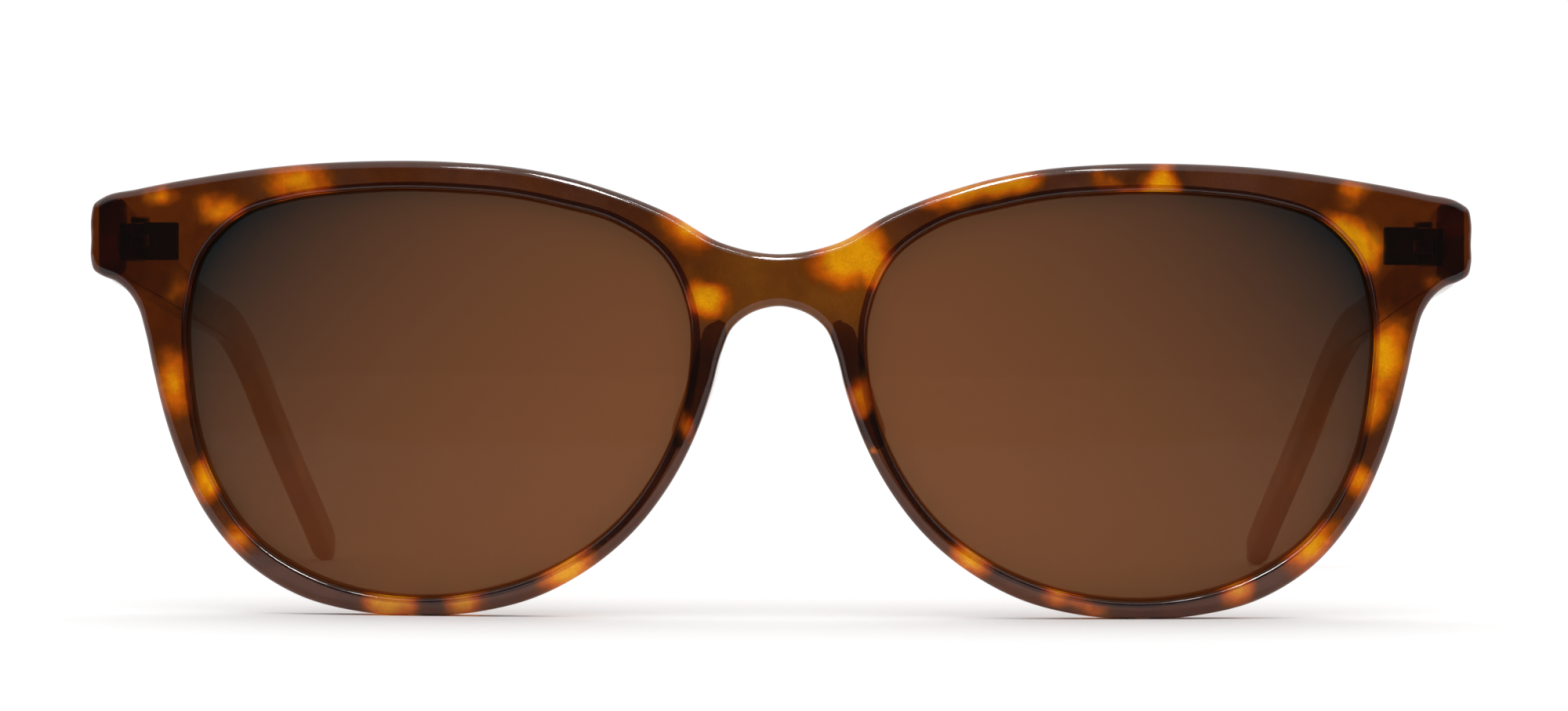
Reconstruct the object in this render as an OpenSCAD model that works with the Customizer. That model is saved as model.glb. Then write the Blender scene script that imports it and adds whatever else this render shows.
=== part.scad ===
// Cat eye sunglasses: an acetate front, two tinted lenses, glued nose pads, three-barrel hinges
// and wire-cored acetate temples, drawn open and standing on the rims and the temple tips.
// X runs across the face with the wearer's left at +X, Y runs back to the ears and Z is up.
// The origin is on the table, under the middle of the open glasses.

/* [Front] */
// Width over the two end pieces
front_w = 142.4; // [138.4:1:146.4]
// Height of the front, from the lowest point of the rims to the brow
front_h = 46.4; // [45:0.2:48]
// Thickness of the acetate sheet
front_t = 4.2; // [4:0.1:4.6]
// Radius of the bend across the face
face_r = 300; // [280:10:340]
// Depth of the flat hinge seats behind the bridge's front surface
seat_y = 13; // [12.6:0.1:13.6]

/* [Lenses] */
// Radius of the lenses' outer surface, a 4 base curve
lens_r = 131; // [125:1:140]
// Thickness of a lens
lens_t = 1.6; // [1.4:0.1:1.8]
// Distance from the rim's front surface to the middle of the lens
lens_recess = 0.3; // [0.2:0.1:0.5]
// Depth of the groove that holds the lens
groove_d = 0.7; // [0.5:0.1:0.8]
// Width of the lip behind the lens
lip_w = 0.6; // [0.4:0.1:0.7]

/* [Temples] */
// Length of the straight run from the front to the ear bend
temple_run = 90; // [84:1:94]
// Height of a temple at the hinge
temple_h = 8.1; // [7.6:0.1:8.4]
// Thickness of a temple at the hinge
temple_t = 2.9; // [2.8:0.1:3.1]
// Downward slope of the straight run, in degrees
temple_drop = 5; // [4:0.5:6]
// Downward slope of the tip behind the ear, in degrees
tip_slope = 45; // [40:1:50]
// Radius of the ear bend
bend_r = 30; // [26:1:34]
// How far a tip curls in towards the head
tip_curl = 9; // [6:0.5:10]

/* [Hinges] */
// Radius of the barrels
barrel_r = 1.1; // [1:0.05:1.15]
// Radius of the screw's shank
screw_r = 0.6; // [0.5:0.05:0.65]
// Height of a hinge over its three barrels
hinge_h = 3.9; // [3.6:0.1:4.2]

/* [Nose pads] */
// Length of a pad along the side of the nose
pad_len = 14; // [12:0.5:15]
// How far a pad stands out behind the rim
pad_d = 4.6; // [4:0.2:5]
// Thickness of a pad
pad_t = 2.4; // [2.2:0.1:2.6]

/* [Hidden] */

$fn = 48;
seg = 2.6;             // longest side of a drawn curve
fit_gap = 0.05;        // gap round a piece that sits in a pocket
run_gap = 0.04;        // radial clearance of a turning barrel
over = 1;              // how far a cutting shape runs past what it cuts
wide = front_w / 142.4; // the outlines below are drawn for a front of 142.4 by 46.4
tall = front_h / 46.4;

// Half of the front's outer outline, seen from the front: along the brow, round the end piece,
// down the rim and up to the nose arch
brow = [[0, 37], [5.8, 38.1], [11.1, 41.05], [17, 43.4], [25, 45.45], [33.5, 46.3], [41.9, 46.4],
    [50.4, 45.95], [59.1, 44.85], [66.2, 43.6]];
end_piece = [[70, 42.7], [70.9, 42.05], [71.2, 40.85], [71.2, 38.4], [71.2, 36.25], [70.9, 35.25],
    [70, 34.65], [68.6, 34.1], [67.3, 33.1], [66.2, 31.5], [65.4, 29]];
rim = [[64.5, 25], [63.4, 20.6], [61.9, 16.2], [59.1, 10.5], [54.7, 5.35], [49, 1.9], [42.7, 0.35],
    [36.5, 0], [30.6, 0.45], [25, 1.85], [19.5, 4.7], [15.2, 8.2], [11.1, 13.4], [8.4, 18.6],
    [6.8, 23.2], [5.8, 27], [4.7, 29.5], [3, 30.9], [1.4, 31.5]];
nose_arch_z = 31.7;
half_front = concat(brow, end_piece, rim);

// Lens opening about its own middle: angle from the temple side, then radius
lens_x = 34.7 * wide;
lens_z = 24.45 * tall;
opening_polar = [[0, 26.2], [14, 27.2], [27, 27.75], [38, 26.6], [50, 23.8], [64, 21.1],
    [80, 19.5], [95, 19.1], [110, 19.8], [125, 21.4], [139, 24.1], [152, 26.2], [166, 26.5],
    [180, 25.7], [200, 24.5], [220, 23.6], [240, 22.8], [260, 22.5], [280, 23], [300, 24.2],
    [320, 25.5], [340, 25.9]];

// Middle of the lens surfaces' ball, on the line from the lens's middle to the axis of the bend
face_turn = asin(lens_x / face_r);
ball_reach = face_r - lens_recess - lens_r;
ball_middle = [ball_reach * sin(face_turn), face_r - ball_reach * cos(face_turn), lens_z];
tongue_inset = 0.4;    // from the lens's surfaces to the tongue round its edge

// Depths in front of and behind everything on the front
near_y = -2;
far_y = 20;

// Area of the thick acetate round a hinge, seen from the front: its slanted inner edge, outwards
seat_area = [[59.5, 60], [80, 60], [80, 30], [62.5, 30]] * wide;

// Hinge and temple stations
temple_gap = 0.05;
temple_y = seat_y + temple_gap;
temple_z = 38.8 * tall;
temple_in_x = front_w / 2 - temple_t - 0.2; // the outer face lies just inside the end piece's
axis_x = temple_in_x - barrel_r - 0.2;      // the barrels clear the temple's inner face
axis_y = seat_y + barrel_r + 0.25;          // and the seat
hinge_z = 38.3 * tall;
knuckle = hinge_h / 3;
leaf_d = 1.6;          // depth of the front leaf in the acetate
leaf_w = 3.5;
leaf_x = axis_x - 4.2; // inner edge of the front leaf
lug_x = leaf_x + 1.2;  // inner edge of the lugs that carry the front leaf's barrels
lug_d = 1.3;           // how far the lugs stand out of the seat
lug_root = 0.2;        // how far they reach into the leaf
barrel_in = 0.1;       // how far an arm reaches into its barrel
notch_w = 0.6;         // notch in the leaf's outer edge, level with the middle barrel
plate_d = 1.1;         // depth of the temple leaf in the acetate
plate_out = 0.4;       // how far it stands out of the temple's inner face
plate_y = axis_y + 1.6;
plate_len = 8;
arm_root = 1;          // how far the middle barrel's arm runs along the plate
screw_over = 0.2;      // how far the screw's end stands out below
head_h = 0.7;
head_r = barrel_r - 0.1;
slot_w = 0.3;
wire_t = 0.8;
wire_h = 1.7;
wire_from = 7;         // the wire's start, along the temple
wire_end_gap = 7;      // from the wire's point to the middle of the tip's round end

pad_turn = 71;         // turn of a pad's flat faces to lie along the side of the nose
pad_lean = 10;         // lean away from the nose, towards the back
pad_x = 8.15 * wide;
pad_z = 23.6 * tall;

tip_r = 2.6;           // radius of the tip's round end
bend_len = bend_r * (tip_slope - temple_drop) * PI / 180;
run_end = temple_run * [cos(temple_drop), -sin(temple_drop)];
bend_end = run_end + bend_r * [sin(tip_slope) - sin(temple_drop),
    cos(tip_slope) - cos(temple_drop)];
tip_len = (temple_z + bend_end[1] - tip_r) / sin(tip_slope);
temple_len = temple_run + bend_len + tip_len;
tip_y = temple_y + bend_end[0] + tip_len * cos(tip_slope) + tip_r;
middle_y = tip_y / 2;  // puts the origin under the middle of the open glasses
end_curl = 0.5;        // how far the tip's round end curls on towards the head

// ---- curves ----

// Direction at b of a smooth curve through a, b and c, for a curve drawn at unit speed
function heading(a, b, c) =
    let (before = norm(b - a), after = norm(c - b))
    ((b - a) * after / before + (c - b) * before / after) / (before + after);

function between(a, b, c, d, t) =
    let (span = norm(c - b), u = heading(a, b, c) * span, v = heading(b, c, d) * span)
    b * (2 * t ^ 3 - 3 * t ^ 2 + 1) + c * (3 * t ^ 2 - 2 * t ^ 3)
    + u * (t ^ 3 - 2 * t ^ 2 + t) + v * (t ^ 3 - t ^ 2);

// Closed smooth curve through the points, in sides no longer than seg
function closed_curve(p) =
    let (n = len(p))
    [for (i = [0 : n - 1])
        let (a = p[(i + n - 1) % n], b = p[i], c = p[(i + 1) % n], d = p[(i + 2) % n],
            steps = max(2, ceil(norm(c - b) / seg)))
        for (k = [0 : steps - 1]) between(a, b, c, d, k / steps)];

// Closed outline moved outwards by d; the points run clockwise
function grown(p, d) =
    let (n = len(p))
    [for (i = [0 : n - 1])
        let (along = p[(i + 1) % n] - p[(i + n - 1) % n])
        p[i] + d * [-along[1], along[0]] / norm(along)];

function mirrored(p) = [for (i = [len(p) - 1 : -1 : 1]) [-p[i][0], p[i][1]]];

front_points = [for (q = concat(half_front, [[0, nose_arch_z]], mirrored(half_front)))
    [q[0] * wide, q[1] * tall]];
front_outline = closed_curve(front_points);
lens_outline = closed_curve([for (i = [len(opening_polar) - 1 : -1 : 0])
    let (q = opening_polar[i])
    [lens_x + q[1] * cos(q[0]) * wide, lens_z + q[1] * sin(q[0]) * tall]]);

// Temple's middle line, side view, from the front end: distance along it to [y, z]
function slope_at(s) =
    min(tip_slope, temple_drop + max(0, s - temple_run) / bend_r * 180 / PI);
function path_at(s) =
    s <= temple_run ? s * [cos(temple_drop), -sin(temple_drop)]
    : s <= temple_run + bend_len
    ? run_end + bend_r * [sin(slope_at(s)) - sin(temple_drop), cos(slope_at(s)) - cos(temple_drop)]
    : bend_end + (s - temple_run - bend_len) * [cos(tip_slope), -sin(tip_slope)];
function half_h(s) =
    lookup(s, [[0, temple_h / 2], [12, temple_h / 2 - 0.15], [30, 3.3], [60, 2.65], [90, 2.4],
        [112, 2.7], [temple_len, tip_r]]);
function half_t(s) = lookup(s, [[0, temple_t / 2], [40, 1.4], [temple_len, 1.3]]);
// Distance of the temple's middle line from the glasses' middle plane
function path_x(s) =
    temple_in_x + temple_t / 2
    + lookup(s, [[0, 0], [20, 0.35], [45, 0.6], [75, 0.45], [90, -0.2], [100, -1.2],
        [112, -3.2], [temple_len, -tip_curl]]);

// The first station lies ahead of the seat, so that the plan cuts the temple's end square
stations = concat([-1], [for (s = [7.5 : 7.5 : temple_run]) s],
    [for (k = [1 : 6]) temple_run + bend_len * k / 6],
    [for (k = [1 : 4]) temple_run + bend_len + tip_len * k / 4]);

// ---- solids shared by the pieces ----

// Everything inside an outline seen from the front, from y0 to y1
module through(points, y0, y1)
    translate([0, y1, 0]) rotate([90, 0, 0]) linear_extrude(y1 - y0) polygon(points);

// Everything behind a surface bent like the front, at a depth below the front's own surface
module behind(depth)
    translate([0, face_r, -over]) cylinder(r = face_r - depth, h = front_h + 2 * over, $fn = 720);

// Ball of the lens's surfaces at a depth below the lens's own outer surface
module lens_ball(depth)
    translate(ball_middle) sphere(r = lens_r - depth, $fn = 240);

// Side view and plan of a temple, or of its core grown by extra, extruded and intersected
module temple_form(core = false, extra = 0) {
    spots = [for (s = stations) if (!core || s >= wire_from) s];
    last = len(spots) - 1;
    function up(s) = [sin(slope_at(s)), cos(slope_at(s))];
    function at(s) = [temple_y, temple_z] + path_at(s);
    function h(s) = core ? wire_h / 2 + extra : half_h(s);
    function t(s) = core ? wire_t / 2 + extra : half_t(s);
    side = concat([for (s = spots) at(s) + h(s) * up(s)],
        core ? [] : [for (a = [75 : -15 : -75]) at(temple_len)
            + tip_r * [cos(a - tip_slope), sin(a - tip_slope)]],
        [for (i = [last : -1 : 0]) at(spots[i]) - h(spots[i]) * up(spots[i])]);
    function y_of(s) = max(temple_y, at(s)[0]);
    plan = concat([for (s = spots) [path_x(s) + t(s), y_of(s)]],
        [[path_x(temple_len) + t(temple_len) - end_curl, tip_y + over],
            [path_x(temple_len) - t(temple_len) - end_curl, tip_y + over]],
        [for (i = [last : -1 : 0]) [path_x(spots[i]) - t(spots[i]), y_of(spots[i])]]);
    intersection() {
        rotate([90, 0, 90]) linear_extrude(front_w) polygon(side);
        translate([0, 0, -over]) linear_extrude(front_h + 2 * over) polygon(plan);
    }
}

// ---- pieces of the wearer's left side; the right side is their mirror image ----

module lens() color([0.42, 0.27, 0.17, 0.85]) {
    intersection() {
        through(grown(lens_outline, -fit_gap), near_y, far_y);
        difference() {
            lens_ball(0);
            lens_ball(lens_t);
        }
    }
    intersection() {
        through(grown(lens_outline, groove_d - fit_gap), near_y, far_y);
        difference() {
            lens_ball(tongue_inset);
            lens_ball(lens_t - tongue_inset);
        }
    }
}

// Room for a lens: the open front, the groove and the hole inside the rear lip
module lens_room() {
    difference() {
        through(lens_outline, near_y, far_y);
        lens_ball(lens_t + fit_gap);
    }
    intersection() {
        through(grown(lens_outline, groove_d), near_y, far_y);
        difference() {
            lens_ball(tongue_inset - fit_gap);
            lens_ball(lens_t - tongue_inset + fit_gap);
        }
    }
    through(grown(lens_outline, -lip_w), near_y, far_y);
}

// Thick acetate behind the end piece, with the flat seat that the temple butts on
module hinge_seat()
    intersection() {
        through(front_outline, near_y, seat_y);
        through(seat_area, near_y, seat_y);
        behind(0);
    }

module barrel(z, h)
    translate([axis_x, axis_y, z]) difference() {
        cylinder(r = barrel_r, h = h);
        translate([0, 0, -over]) cylinder(r = screw_r + run_gap, h = h + 2 * over);
    }

// Leaf sunk in the seat, with the upper and lower barrels on its lugs
module front_hinge() color("dimgray") {
    bottom = hinge_z - hinge_h / 2;
    difference() {
        translate([leaf_x, seat_y - leaf_d, bottom]) cube([leaf_w, leaf_d, hinge_h]);
        translate([leaf_x + leaf_w - notch_w, seat_y - leaf_d - over, bottom + knuckle])
            cube([notch_w + over, leaf_d + 2 * over, knuckle]);
    }
    for (z = [bottom, bottom + 2 * knuckle]) {
        difference() {
            union() {
                translate([lug_x, seat_y - lug_root, z])
                    cube([leaf_x + leaf_w - lug_x, lug_d + lug_root, knuckle]);
                translate([lug_x, seat_y + fit_gap, z])
                    cube([axis_x - lug_x, lug_d - fit_gap, knuckle]);
            }
            translate([axis_x, axis_y, z - over])
                cylinder(r = barrel_r - barrel_in, h = knuckle + 2 * over);
        }
        barrel(z, knuckle);
    }
}

// Middle barrel with the plate sunk in the inner face of the temple
module temple_hinge() color("dimgray") {
    bottom = hinge_z - hinge_h / 2;
    middle = bottom + knuckle + fit_gap;
    middle_h = knuckle - 2 * fit_gap;
    barrel(middle, middle_h);
    difference() {
        translate([axis_x, axis_y, middle])
            cube([temple_in_x + plate_d - axis_x, plate_y + arm_root - axis_y, middle_h]);
        translate([axis_x, axis_y, middle - over])
            cylinder(r = barrel_r - barrel_in, h = middle_h + 2 * over);
    }
    translate([temple_in_x - plate_out, plate_y, bottom])
        cube([plate_d + plate_out, plate_len, hinge_h]);
}

// Slotted screw that is the hinge's pin
module hinge_screw() color("silver")
    translate([axis_x, axis_y, hinge_z - hinge_h / 2]) {
        translate([0, 0, -screw_over]) cylinder(r = screw_r, h = hinge_h + screw_over + fit_gap);
        translate([0, 0, hinge_h + fit_gap]) difference() {
            cylinder(r = head_r, h = head_h);
            translate([-head_r - over, -slot_w / 2, head_h / 2])
                cube([2 * (head_r + over), slot_w, head_h]);
        }
    }

// Wire that stiffens the temple, from the hinge plate to its point in the tip
module core_wire(extra = 0) color("silver")
    intersection() {
        temple_form(true, extra);
        rotate([90, 0, 90]) linear_extrude(front_w)
            translate([temple_y, temple_z] + path_at(temple_len - wire_end_gap + extra))
                rotate(-tip_slope) polygon([[0, 0], [-1, 1], [-1, -1]] * 2 * temple_run);
    }

module temple() color("saddlebrown")
    difference() {
        temple_form();
        temple_hinge();
        core_wire(fit_gap);
    }

// Half-round fin glued behind the rim, with a rounded edge, leaning away from the nose
module nose_pad() color("saddlebrown") {
    disc_r = (pad_d ^ 2 + (pad_len / 2) ^ 2) / (2 * pad_d);
    edge_r = pad_t / 2;
    intersection() {
        translate([pad_x, front_t + pad_d - disc_r, pad_z])
            rotate(a = pad_lean, v = [cos(pad_turn), 0, -sin(pad_turn)])
            rotate([0, pad_turn, 0])
            rotate_extrude() {
                translate([0, -edge_r]) square([disc_r - edge_r, pad_t]);
                translate([disc_r - edge_r, 0]) intersection() {
                    circle(edge_r);
                    translate([0, -pad_t]) square(2 * pad_t);
                }
            }
        behind(front_t);
    }
}

module front_frame() color("saddlebrown")
    difference() {
        union() {
            intersection() {
                through(front_outline, near_y, far_y);
                difference() {
                    behind(0);
                    behind(front_t);
                }
            }
            hinge_seat();
            mirror([1, 0, 0]) hinge_seat();
        }
        for (side = [0, 1]) mirror([side, 0, 0]) {
            lens_room();
            front_hinge();
        }
    }

module placed() translate([0, -middle_y, 0]) children();
module left() placed() children();
module right() placed() mirror([1, 0, 0]) children();

placed() front_frame();
right() lens();  // lens_right
left() lens();  // lens_left
right() nose_pad();  // nose_pad_right
left() nose_pad();  // nose_pad_left
right() front_hinge();  // front_hinge_right
left() front_hinge();  // front_hinge_left
right() hinge_screw();  // hinge_screw_right
left() hinge_screw();  // hinge_screw_left
right() temple();  // temple_right
left() temple();  // temple_left
right() temple_hinge();  // temple_hinge_right
left() temple_hinge();  // temple_hinge_left
right() core_wire();  // core_wire_right
left() core_wire();  // core_wire_left
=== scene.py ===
"""Looks of the cat eye sunglasses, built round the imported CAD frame.

Shapes are worked out in millimetres in the glasses' own frame: x to the wearer's left, y back from
the bridge's front surface, z up from the table. place() turns them into metres in the row frame.
"""

import math

import bmesh
import bpy
import numpy as np
from mathutils import Matrix, Vector
from mathutils.geometry import delaunay_2d_cdt


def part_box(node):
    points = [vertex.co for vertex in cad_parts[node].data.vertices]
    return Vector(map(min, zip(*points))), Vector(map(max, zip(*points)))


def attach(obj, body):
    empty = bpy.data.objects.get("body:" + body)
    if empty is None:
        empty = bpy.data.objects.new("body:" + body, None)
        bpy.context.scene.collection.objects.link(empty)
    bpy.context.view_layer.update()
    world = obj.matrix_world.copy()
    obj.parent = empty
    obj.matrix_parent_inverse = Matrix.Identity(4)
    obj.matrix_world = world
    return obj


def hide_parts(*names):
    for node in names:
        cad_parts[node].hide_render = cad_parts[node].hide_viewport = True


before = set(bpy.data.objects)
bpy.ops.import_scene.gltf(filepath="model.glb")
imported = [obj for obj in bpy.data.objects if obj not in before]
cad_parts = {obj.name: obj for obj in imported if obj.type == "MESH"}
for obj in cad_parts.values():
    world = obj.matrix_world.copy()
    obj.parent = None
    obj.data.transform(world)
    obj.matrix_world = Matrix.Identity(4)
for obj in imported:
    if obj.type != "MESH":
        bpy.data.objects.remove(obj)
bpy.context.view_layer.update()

MM = 0.001
FRONT_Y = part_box("front_frame")[0].y / MM  # the bridge's front surface, in the row frame

# ---- the design's driving sizes, as in the CAD source, in millimetres ----

FACE_R, FRONT_T, SEAT_Y = 300, 4.2, 13
LENS_R, LENS_T, LENS_RECESS, GROOVE_D = 131, 1.6, 0.3, 0.7
LENS_X, LENS_Z = 34.7, 24.45
FIT_GAP, TONGUE_INSET = 0.05, 0.4
FACE_TURN = math.asin(LENS_X / FACE_R)
BALL_REACH = FACE_R - LENS_RECESS - LENS_R
BALL = (BALL_REACH * math.sin(FACE_TURN), FACE_R - BALL_REACH * math.cos(FACE_TURN), LENS_Z)

TEMPLE_RUN, TEMPLE_DROP, TIP_SLOPE, BEND_R, TIP_R = 90, 5, 45, 30, 2.6
TEMPLE_Y, TEMPLE_Z, TEMPLE_IN_X, TEMPLE_T = SEAT_Y + 0.05, 38.8, 68.1, 2.9
AXIS_X, AXIS_Y, HINGE_Z, HINGE_H = 66.8, 14.35, 38.3, 3.9
BARREL_R, SCREW_R, KNUCKLE = 1.1, 0.6, HINGE_H / 3
LEAF_X, LEAF_W, LEAF_D, LUG_X, NOTCH_W = 62.6, 3.5, 1.6, 63.8, 0.6
PLATE_D, PLATE_OUT, PLATE_Y, PLATE_LEN = 1.1, 0.4, AXIS_Y + 1.6, 8
WIRE_T, WIRE_H, WIRE_FROM, WIRE_END_GAP = 0.8, 1.7, 7, 7

# Half of the front's outline, from the brow round the end piece and the rim to the nose arch
HALF_FRONT = [
    (0, 37), (5.8, 38.1), (11.1, 41.05), (17, 43.4), (25, 45.45), (33.5, 46.3), (41.9, 46.4),
    (50.4, 45.95), (59.1, 44.85), (66.2, 43.6), (70, 42.7), (70.9, 42.05), (71.2, 40.85),
    (71.2, 38.4), (71.2, 36.25), (70.9, 35.25), (70, 34.65), (68.6, 34.1), (67.3, 33.1),
    (66.2, 31.5), (65.4, 29), (64.5, 25), (63.4, 20.6), (61.9, 16.2), (59.1, 10.5), (54.7, 5.35),
    (49, 1.9), (42.7, 0.35), (36.5, 0), (30.6, 0.45), (25, 1.85), (19.5, 4.7), (15.2, 8.2),
    (11.1, 13.4), (8.4, 18.6), (6.8, 23.2), (5.8, 27), (4.7, 29.5), (3, 30.9), (1.4, 31.5),
]
NOSE_ARCH = (0, 31.7)
# Lens opening about its own middle: angle from the temple side in degrees, then radius
OPENING = [
    (0, 26.2), (14, 27.2), (27, 27.75), (38, 26.6), (50, 23.8), (64, 21.1), (80, 19.5), (95, 19.1),
    (110, 19.8), (125, 21.4), (139, 24.1), (152, 26.2), (166, 26.5), (180, 25.7), (200, 24.5),
    (220, 23.6), (240, 22.8), (260, 22.5), (280, 23), (300, 24.2), (320, 25.5), (340, 25.9),
]


# ---- curves ----


def closed_curve(points, step):
    """Closed smooth curve through the points, in sides of about step."""
    p = [np.array(q, float) for q in points]
    n = len(p)

    def heading(a, b, c):
        before, after = np.linalg.norm(b - a), np.linalg.norm(c - b)
        return ((b - a) * after / before + (c - b) * before / after) / (before + after)

    out = []
    for i in range(n):
        a, b, c, d = p[i - 1], p[i], p[(i + 1) % n], p[(i + 2) % n]
        span = np.linalg.norm(c - b)
        u, v = heading(a, b, c) * span, heading(b, c, d) * span
        steps = max(2, math.ceil(span / step))
        for k in range(steps):
            t = k / steps
            out.append(
                b * (2 * t**3 - 3 * t**2 + 1) + c * (3 * t**2 - 2 * t**3)
                + u * (t**3 - 2 * t**2 + t) + v * (t**3 - t**2)
            )
    return np.array(out)


def grown(loop, d):
    """Closed clockwise outline moved outwards by d."""
    along = np.roll(loop, -1, 0) - np.roll(loop, 1, 0)
    along /= np.linalg.norm(along, axis=1)[:, None]
    return loop + d * np.stack([-along[:, 1], along[:, 0]], 1)


def flowing(rows, s):
    """Smooth curve through a table of (position, value) at s."""
    at = np.array([r[0] for r in rows], float)
    value = np.array([r[1] for r in rows], float)
    slope = np.gradient(value, at)
    s = np.clip(s, at[0], at[-1])
    i = np.clip(np.searchsorted(at, s, "right") - 1, 0, len(at) - 2)
    span = at[i + 1] - at[i]
    t = (s - at[i]) / span
    return (
        value[i] * (2 * t**3 - 3 * t**2 + 1) + value[i + 1] * (3 * t**2 - 2 * t**3)
        + slope[i] * span * (t**3 - 2 * t**2 + t) + slope[i + 1] * span * (t**3 - t**2)
    )


def smooth(t):
    """0 below 0, 1 above 1 and an even S between."""
    t = np.clip(t, 0, 1)
    return t * t * (3 - 2 * t)


def inside(points, loop):
    """Which of the points lie inside a closed outline."""
    a, b = loop, np.roll(loop, -1, 0)
    x, z = points[:, 0][:, None], points[:, 1][:, None]
    crosses = (a[:, 1] > z) != (b[:, 1] > z)
    rise = np.where(b[:, 1] == a[:, 1], 1e-12, b[:, 1] - a[:, 1])
    return ((crosses & (x < a[:, 0] + (z - a[:, 1]) / rise * (b[:, 0] - a[:, 0]))).sum(1) % 2) == 1


# ---- meshes ----


class Shell:
    """Vertices and faces of one closed surface, collected in millimetres."""

    def __init__(self):
        self.points, self.faces, self.kinds = [], [], []

    def ring(self, points):
        start = len(self.points)
        self.points.extend(tuple(map(float, p)) for p in points)
        return list(range(start, len(self.points)))

    def join(self, a, b, kind=0):
        n = len(a)
        for i in range(n):
            self.face((a[i], a[(i + 1) % n], b[(i + 1) % n], b[i]), kind)

    def face(self, ids, kind=0):
        self.faces.append(tuple(ids))
        self.kinds.append(kind)

    def loft(self, rings, caps=True):
        ids = [self.ring(r) for r in rings]
        for a, b in zip(ids, ids[1:]):
            self.join(a, b)
        if caps:
            self.face(reversed(ids[0]))
            self.face(ids[-1])

    def fill(self, loops, ids, spots, depth, kind=0):
        """Triangles between the outlines, through the spots: the first loop is the outer one."""
        flat = np.concatenate([*loops, spots])
        known = [i for group in ids for i in group]
        known += self.ring([(x, y, z) for (x, z), y in zip(spots, depth(spots))])
        edges, start = [], 0
        for loop in loops:
            n = len(loop)
            edges += [(start + i, start + (i + 1) % n) for i in range(n)]
            start += n
        made = delaunay_2d_cdt([Vector(p) for p in flat.tolist()], edges, [], 0, 1e-7)
        verts, faces, origin = made[0], made[2], made[3]
        middles = np.array([sum((verts[i] for i in f), Vector((0, 0))) / len(f) for f in faces])
        keep = inside(middles, loops[0])
        for hole in loops[1:]:
            keep &= ~inside(middles, hole)
        for f, k in zip(faces, keep):
            if k:
                self.face([known[origin[i][0]] for i in f], kind)

    def mark(self, test):
        """Gives kind 1 to the faces whose middle passes the test and 0 to the others."""
        middles = [np.mean([self.points[i] for i in f], 0) for f in self.faces]
        self.kinds = [int(test(m)) for m in middles]
        return self


def hexagonal(loops, spacing, clear, box):
    """Spots in a hexagonal pattern inside the first outline, outside the others and off them all."""
    x0, z0, x1, z1 = box
    row_gap = 0.866 * spacing
    rows = []
    for j, z in enumerate(np.arange(z0, z1, row_gap)):
        shift = spacing / 2 if j % 2 else 0
        rows += [(x + shift, z) for x in np.arange(x0, x1, spacing)]
    spots = np.array(rows)
    keep = inside(spots, loops[0])
    for hole in loops[1:]:
        keep &= ~inside(spots, hole)
    spots = spots[keep]
    edge = np.concatenate(loops)
    gap = np.array([np.hypot(*(edge - s).T).min() for s in spots])
    return spots[gap > clear]


def place(name, shell, body, replaces, materials, mirror=False, sharp=35):
    """Makes the piece: a mesh in metres in the row frame, riding on its body."""
    p = np.array(shell.points)
    if mirror:
        p[:, 0] *= -1
    p = (p + (0, FRONT_Y, 0)) * MM
    mesh = bpy.data.meshes.new(name)
    mesh.from_pydata(p.tolist(), [], shell.faces)
    for m in materials:
        mesh.materials.append(m)
    mesh.polygons.foreach_set("material_index", shell.kinds)
    mesh.validate()
    piece = bpy.data.objects.new(name, mesh)
    bpy.context.scene.collection.objects.link(piece)
    shade(mesh, sharp)
    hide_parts(replaces)
    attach(piece, body)


def shade(mesh, sharp):
    """Outward normals, smooth shading and edges sharper than the angle kept crisp."""
    b = bmesh.new()
    b.from_mesh(mesh)
    bmesh.ops.recalc_face_normals(b, faces=b.faces)
    b.to_mesh(mesh)
    b.free()
    mesh.polygons.foreach_set("use_smooth", [True] * len(mesh.polygons))
    mesh.set_sharp_from_angle(angle=math.radians(sharp))


# ---- the front ----

EDGE_STEP = 0.5           # side length along the outlines
FRONT_ROUND, REAR_ROUND = 0.85, 0.6
MOUTH_ROUND, LIP_ROUND = 0.25, 0.2
LIP_W = 0.3               # lip behind the lens: half of the CAD one, so that less shows through
SUPPORT = 0.1             # flat ring that keeps the faces' shading flat
ARC = [math.radians(a) for a in (0, 18, 36, 54, 72, 90)]
# Thick end pieces: the inner edge is at THICK_X at the height THICK_TOP and leans 1 in THICK_LEAN,
# outwards going down
THICK_X, THICK_TOP, THICK_LEAN = 59.5, 60, 10
THICK_Z = 30.2            # their lower end
FLOW_LEAD, FLOW_X, FLOW_Z = 1.8, 2.4, 3    # the flow into them: how far before the edge, widths
# Points inside the two faces: box, spacing, distance from the edges, finer near the end pieces
FACE_BOX = (-72, 0, 72, 47)
POINT_GAP, POINT_CLEAR = 1.3, 0.6
FINE_GAP, FINE_CLEAR, FINE_X, FINE_Z = 0.65, 0.4, 57, 28.5

other_half = [(-x, z) for x, z in HALF_FRONT[:0:-1]]
front_loop = closed_curve([*HALF_FRONT, NOSE_ARCH, *other_half], EDGE_STEP)


def opening_loop(side):
    """Lens opening of one side, clockwise seen from the front."""
    turn = [(math.radians(a), r) for a, r in OPENING]
    points = [(LENS_X + r * math.cos(a), LENS_Z + r * math.sin(a)) for a, r in reversed(turn)]
    loop = closed_curve(points, EDGE_STEP)
    return loop if side > 0 else (loop * (-1, 1))[::-1]


def front_depth(p):
    """The front surface, a large cylinder about an upright axis."""
    return FACE_R - np.sqrt(FACE_R**2 - p[:, 0] ** 2)


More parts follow.
